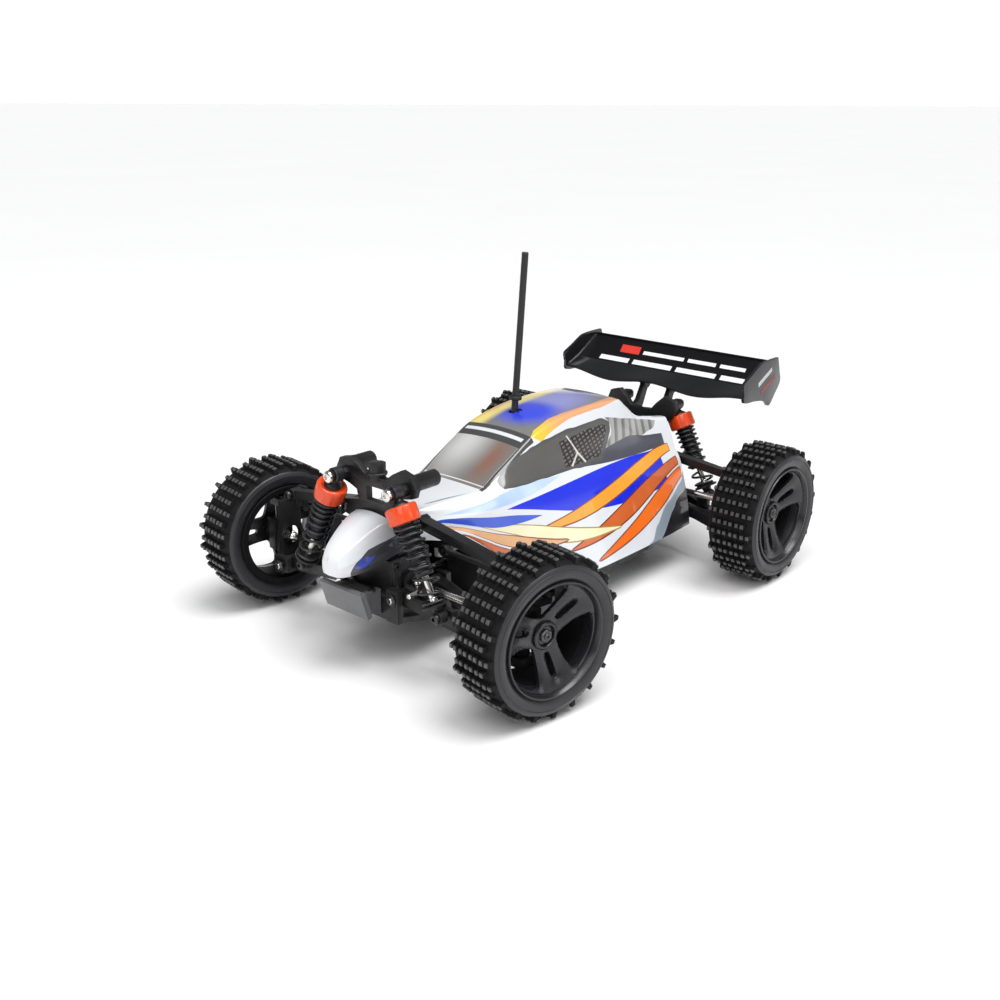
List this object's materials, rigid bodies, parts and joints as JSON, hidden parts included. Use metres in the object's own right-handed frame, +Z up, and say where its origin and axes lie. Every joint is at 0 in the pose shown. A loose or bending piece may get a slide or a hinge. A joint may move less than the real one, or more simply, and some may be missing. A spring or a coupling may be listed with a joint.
{
  "type": "rc buggy",
  "caption": "Electric radio-controlled off-road buggy with a painted cab-forward shell, rear wing, knobbly tyres, sprung suspension and steered front wheels.",
  "frame": {"origin": "on the ground, under the middle of the car's overall box", "axes": "+Z up, nose towards -Y, the car's left side towards +X"},
  "size_m": [0.1888, 0.2512, 0.1551],
  "materials": {
    "tyre": "matt moulded rubber, smooth sidewall",
    "gloss_black_plastic": "glossy moulded plastic",
    "black_plastic": "satin moulded nylon",
    "grey_plastic": "satin moulded nylon, dark grey",
    "shock_plastic": "satin moulded plastic",
    "painted_shell": "clear thin shell, painted white with coloured bands on the inside",
    "steel": "polished",
    "spring_steel": "black coated wire",
    "battery_wrap": "blue shrink wrap",
    "motor_metal": "satin",
    "brass": "machined",
    "white_plastic": "satin moulded nylon"
  },
  "bodies": {
    "chassis": {"chassis": "grey_plastic", "front_bumper": "grey_plastic", "front_gearbox": "black_plastic", "rear_gearbox": "black_plastic", "front_shock_tower": "black_plastic", "rear_shock_tower": "black_plastic", "wing_mount": "black_plastic", "rear_wing": "gloss_black_plastic", "antenna_tube": "black_plastic", "battery_pack": "battery_wrap", "speed_controller": "motor_metal", "motor": "motor_metal", "steering_servo": "black_plastic", "body_shell": "painted_shell"},
    "lower_arm_front_left": {"lower_arm_front_left": "black_plastic"},
    "hub_carrier_front_left": {"hub_carrier_front_left": "black_plastic"},
    "upper_arm_front_left": {"upper_arm_front_left": "black_plastic"},
    "drive_shaft_front_left": {"drive_shaft_front_left": "steel"},
    "shock_front_left": {"shock_body_front_left": "shock_plastic", "shock_spring_front_left": "spring_steel"},
    "shock_rod_front_left": {"shock_rod_front_left": "steel"},
    "lower_arm_front_right": {"lower_arm_front_right": "black_plastic"},
    "hub_carrier_front_right": {"hub_carrier_front_right": "black_plastic"},
    "upper_arm_front_right": {"upper_arm_front_right": "black_plastic"},
    "drive_shaft_front_right": {"drive_shaft_front_right": "steel"},
    "shock_front_right": {"shock_body_front_right": "shock_plastic", "shock_spring_front_right": "spring_steel"},
    "shock_rod_front_right": {"shock_rod_front_right": "steel"},
    "lower_arm_rear_left": {"lower_arm_rear_left": "black_plastic"},
    "rear_upright_left": {"rear_upright_left": "black_plastic"},
    "upper_link_rear_left": {"upper_link_rear_left": "black_plastic"},
    "drive_shaft_rear_left": {"drive_shaft_rear_left": "steel"},
    "shock_rear_left": {"shock_body_rear_left": "shock_plastic", "shock_spring_rear_left": "spring_steel"},
    "shock_rod_rear_left": {"shock_rod_rear_left": "steel"},
    "lower_arm_rear_right": {"lower_arm_rear_right": "black_plastic"},
    "rear_upright_right": {"rear_upright_right": "black_plastic"},
    "upper_link_rear_right": {"upper_link_rear_right": "black_plastic"},
    "drive_shaft_rear_right": {"drive_shaft_rear_right": "steel"},
    "shock_rear_right": {"shock_body_rear_right": "shock_plastic", "shock_spring_rear_right": "spring_steel"},
    "shock_rod_rear_right": {"shock_rod_rear_right": "steel"},
    "servo_arm": {"servo_arm": "white_plastic"},
    "steering_link": {"steering_link": "black_plastic"},
    "tie_rod_left": {"tie_rod_left": "black_plastic"},
    "steering_knuckle_left": {"steering_knuckle_left": "black_plastic"},
    "wheel_front_left": {"tyre_front_left": "tyre", "rim_front_left": "gloss_black_plastic"},
    "wheel_rear_left": {"tyre_rear_left": "tyre", "rim_rear_left": "gloss_black_plastic"},
    "tie_rod_right": {"tie_rod_right": "black_plastic"},
    "steering_knuckle_right": {"steering_knuckle_right": "black_plastic"},
    "wheel_front_right": {"tyre_front_right": "tyre", "rim_front_right": "gloss_black_plastic"},
    "wheel_rear_right": {"tyre_rear_right": "tyre", "rim_rear_right": "gloss_black_plastic"},
    "drive_line": {"centre_drive_shaft": "steel", "spur_gear": "white_plastic"},
    "pinion": {"pinion_gear": "brass"}
  },
  "joints": [
    {"name": "front_left_suspension", "type": "hinge", "parent": "chassis", "child": "lower_arm_front_left", "pos_m": [0.015, -0.0905, 0.03], "axis": [0, -1, 0], "range_deg": [-8, 12], "stiffness_Nm_per_rad": 1.2, "springref_deg": -6.02},
    {"name": "front_left_carrier_pivot", "type": "hinge", "parent": "lower_arm_front_left", "child": "hub_carrier_front_left", "pos_m": [0.061, -0.0905, 0.0225], "axis": [0, -1, 0], "range_deg": [-12.02, 8.01]},
    {"name": "front_left_upper_pivot", "type": "hinge", "parent": "chassis", "child": "upper_arm_front_left", "pos_m": [0.0185, -0.0905, 0.06], "axis": [0, -1, 0], "range_deg": [-8.95, 13.42]},
    {"name": "front_left_drive_shaft_swing", "type": "hinge", "parent": "chassis", "child": "drive_shaft_front_left", "pos_m": [0.0148, -0.0905, 0.0325], "axis": [0, -1, 0], "range_deg": [-7.6, 11.4]},
    {"name": "front_left_shock_swing", "type": "hinge", "parent": "chassis", "child": "shock_front_left", "pos_m": [0.017, -0.1034, 0.075], "axis": [0, -1, 0], "range_deg": [-1.81, 2.7]},
    {"name": "front_left_shock_stroke", "type": "slide", "parent": "shock_front_left", "child": "shock_rod_front_left", "axis": [-0.4551, 0, 0.8904], "range_m": [-0.0032, 0.0048], "deforming": ["shock_spring_front_left"]},
    {"name": "front_right_suspension", "type": "hinge", "parent": "chassis", "child": "lower_arm_front_right", "pos_m": [-0.015, -0.0905, 0.03], "axis": [0, 1, 0], "range_deg": [-8, 12], "stiffness_Nm_per_rad": 1.2, "springref_deg": -6.02},
    {"name": "front_right_carrier_pivot", "type": "hinge", "parent": "lower_arm_front_right", "child": "hub_carrier_front_right", "pos_m": [-0.061, -0.0905, 0.0225], "axis": [0, 1, 0], "range_deg": [-12.02, 8.01]},
    {"name": "front_right_upper_pivot", "type": "hinge", "parent": "chassis", "child": "upper_arm_front_right", "pos_m": [-0.0185, -0.0905, 0.06], "axis": [0, 1, 0], "range_deg": [-8.95, 13.42]},
    {"name": "front_right_drive_shaft_swing", "type": "hinge", "parent": "chassis", "child": "drive_shaft_front_right", "pos_m": [-0.0148, -0.0905, 0.0325], "axis": [0, 1, 0], "range_deg": [-7.6, 11.4]},
    {"name": "front_right_shock_swing", "type": "hinge", "parent": "chassis", "child": "shock_front_right", "pos_m": [-0.017, -0.1034, 0.075], "axis": [0, 1, 0], "range_deg": [-1.81, 2.7]},
    {"name": "front_right_shock_stroke", "type": "slide", "parent": "shock_front_right", "child": "shock_rod_front_right", "axis": [0.4551, 0, 0.8904], "range_m": [-0.0032, 0.0048], "deforming": ["shock_spring_front_right"]},
    {"name": "rear_left_suspension", "type": "hinge", "parent": "chassis", "child": "lower_arm_rear_left", "pos_m": [0.014, 0.0797, 0.0255], "axis": [0, -1, 0], "range_deg": [-8, 12], "stiffness_Nm_per_rad": 1.2, "springref_deg": -6.02},
    {"name": "rear_left_upright_pivot", "type": "hinge", "parent": "lower_arm_rear_left", "child": "rear_upright_left", "pos_m": [0.06, 0.0797, 0.0205], "axis": [0, -1, 0], "range_deg": [-12.03, 8.03]},
    {"name": "rear_left_upper_pivot", "type": "hinge", "parent": "chassis", "child": "upper_link_rear_left", "pos_m": [0.013, 0.0797, 0.0505], "axis": [0, -1, 0], "range_deg": [-8.35, 12.52]},
    {"name": "rear_left_drive_shaft_swing", "type": "hinge", "parent": "chassis", "child": "drive_shaft_rear_left", "pos_m": [0.0148, 0.0797, 0.0325], "axis": [0, -1, 0], "range_deg": [-8.07, 12.09]},
    {"name": "rear_left_shock_swing", "type": "hinge", "parent": "chassis", "child": "shock_rear_left", "pos_m": [0.0155, 0.0926, 0.071], "axis": [0, -1, 0], "range_deg": [-1.48, 2.21]},
    {"name": "rear_left_shock_stroke", "type": "slide", "parent": "shock_rear_left", "child": "shock_rod_rear_left", "axis": [-0.476, 0, 0.8795], "range_m": [-0.0033, 0.00495], "deforming": ["shock_spring_rear_left"]},
    {"name": "rear_right_suspension", "type": "hinge", "parent": "chassis", "child": "lower_arm_rear_right", "pos_m": [-0.014, 0.0797, 0.0255], "axis": [0, 1, 0], "range_deg": [-8, 12], "stiffness_Nm_per_rad": 1.2, "springref_deg": -6.02},
    {"name": "rear_right_upright_pivot", "type": "hinge", "parent": "lower_arm_rear_right", "child": "rear_upright_right", "pos_m": [-0.06, 0.0797, 0.0205], "axis": [0, 1, 0], "range_deg": [-12.03, 8.03]},
    {"name": "rear_right_upper_pivot", "type": "hinge", "parent": "chassis", "child": "upper_link_rear_right", "pos_m": [-0.013, 0.0797, 0.0505], "axis": [0, 1, 0], "range_deg": [-8.35, 12.52]},
    {"name": "rear_right_drive_shaft_swing", "type": "hinge", "parent": "chassis", "child": "drive_shaft_rear_right", "pos_m": [-0.0148, 0.0797, 0.0325], "axis": [0, 1, 0], "range_deg": [-8.07, 12.09]},
    {"name": "rear_right_shock_swing", "type": "hinge", "parent": "chassis", "child": "shock_rear_right", "pos_m": [-0.0155, 0.0926, 0.071], "axis": [0, 1, 0], "range_deg": [-1.48, 2.21]},
    {"name": "rear_right_shock_stroke", "type": "slide", "parent": "shock_rear_right", "child": "shock_rod_rear_right", "axis": [0.476, 0, 0.8795], "range_m": [-0.0033, 0.00495], "deforming": ["shock_spring_rear_right"]},
    {"name": "steering", "type": "hinge", "parent": "chassis", "child": "servo_arm", "pos_m": [0.008, -0.0554, 0.04], "axis": [0, 0, 1], "range_deg": [-20, 8.8]},
    {"name": "steering_link_slide", "type": "slide", "parent": "chassis", "child": "steering_link", "axis": [1, 0, 0], "range_m": [-0.00602, 0.00265]},
    {"name": "front_left_tie_rod_swing", "type": "hinge", "parent": "steering_link", "child": "tie_rod_left", "pos_m": [0.01775, -0.0774, 0.044], "axis": [0, -1, 0], "range_deg": [-6.88, 10.32]},
    {"name": "front_left_kingpin", "type": "hinge", "parent": "hub_carrier_front_left", "child": "steering_knuckle_left", "pos_m": [0.0704, -0.0905, 0.0325], "axis": [0, 0, 1], "range_deg": [-12.78, 29.03]},
    {"name": "front_left_wheel_spin", "type": "hinge", "parent": "steering_knuckle_left", "child": "wheel_front_left", "pos_m": [0.0704, -0.0905, 0.0325], "axis": [0.9866, -0.1633, 0], "continuous": true},
    {"name": "rear_left_wheel_spin", "type": "hinge", "parent": "rear_upright_left", "child": "wheel_rear_left", "pos_m": [0.0755, 0.0797, 0.0325], "axis": [1, 0, 0], "continuous": true},
    {"name": "front_right_tie_rod_swing", "type": "hinge", "parent": "steering_link", "child": "tie_rod_right", "pos_m": [-0.01425, -0.0774, 0.044], "axis": [0, 1, 0], "range_deg": [-6.88, 10.32]},
    {"name": "front_right_kingpin", "type": "hinge", "parent": "hub_carrier_front_right", "child": "steering_knuckle_right", "pos_m": [-0.0704, -0.0905, 0.0325], "axis": [0, 0, 1], "range_deg": [-12.78, 29.03]},
    {"name": "front_right_wheel_spin", "type": "hinge", "parent": "steering_knuckle_right", "child": "wheel_front_right", "pos_m": [-0.0704, -0.0905, 0.0325], "axis": [0.9917, -0.1288, 0], "continuous": true},
    {"name": "rear_right_wheel_spin", "type": "hinge", "parent": "rear_upright_right", "child": "wheel_rear_right", "pos_m": [-0.0755, 0.0797, 0.0325], "axis": [1, 0, 0], "continuous": true},
    {"name": "drive_line_spin", "type": "hinge", "parent": "chassis", "child": "drive_line", "pos_m": [0, -0.0054, 0.0285], "axis": [0, 1, 0], "continuous": true},
    {"name": "pinion_spin", "type": "hinge", "parent": "chassis", "child": "pinion", "pos_m": [-0.015, 0.0426, 0.0285], "axis": [0, 1, 0], "continuous": true}
  ],
  "couplings": [
    {"joint": "front_left_carrier_pivot", "follows": "front_left_suspension", "ratio": -0.9808},
    {"joint": "front_left_upper_pivot", "follows": "front_left_suspension", "ratio": 1.0955},
    {"joint": "front_left_drive_shaft_swing", "follows": "front_left_suspension", "ratio": 0.9306},
    {"joint": "front_left_shock_swing", "follows": "front_left_suspension", "ratio": 0.22},
    {"joint": "front_left_shock_stroke", "follows": "front_left_suspension", "m_per_rad": 0.02242},
    {"joint": "front_right_carrier_pivot", "follows": "front_right_suspension", "ratio": -0.9808},
    {"joint": "front_right_upper_pivot", "follows": "front_right_suspension", "ratio": 1.0955},
    {"joint": "front_right_drive_shaft_swing", "follows": "front_right_suspension", "ratio": 0.9306},
    {"joint": "front_right_shock_swing", "follows": "front_right_suspension", "ratio": 0.22},
    {"joint": "front_right_shock_stroke", "follows": "front_right_suspension", "m_per_rad": 0.02242},
    {"joint": "rear_left_upright_pivot", "follows": "rear_left_suspension", "ratio": -0.9823},
    {"joint": "rear_left_upper_pivot", "follows": "rear_left_suspension", "ratio": 1.0219},
    {"joint": "rear_left_drive_shaft_swing", "follows": "rear_left_suspension", "ratio": 0.9873},
    {"joint": "rear_left_shock_swing", "follows": "rear_left_suspension", "ratio": 0.18},
    {"joint": "rear_left_shock_stroke", "follows": "rear_left_suspension", "m_per_rad": 0.02312},
    {"joint": "rear_right_upright_pivot", "follows": "rear_right_suspension", "ratio": -0.9823},
    {"joint": "rear_right_upper_pivot", "follows": "rear_right_suspension", "ratio": 1.0219},
    {"joint": "rear_right_drive_shaft_swing", "follows": "rear_right_suspension", "ratio": 0.9873},
    {"joint": "rear_right_shock_swing", "follows": "rear_right_suspension", "ratio": 0.18},
    {"joint": "rear_right_shock_stroke", "follows": "rear_right_suspension", "m_per_rad": 0.02312},
    {"joint": "steering_link_slide", "follows": "steering", "m_per_rad": 0.01691},
    {"joint": "front_left_tie_rod_swing", "follows": "front_left_suspension", "ratio": 0.8425},
    {"joint": "front_left_kingpin", "follows": "steering", "ratio": -1.4225},
    {"joint": "front_right_tie_rod_swing", "follows": "front_right_suspension", "ratio": 0.8425},
    {"joint": "front_right_kingpin", "follows": "steering", "ratio": -1.4225},
    {"joint": "pinion_spin", "follows": "drive_line_spin", "ratio": -4}
  ]
}
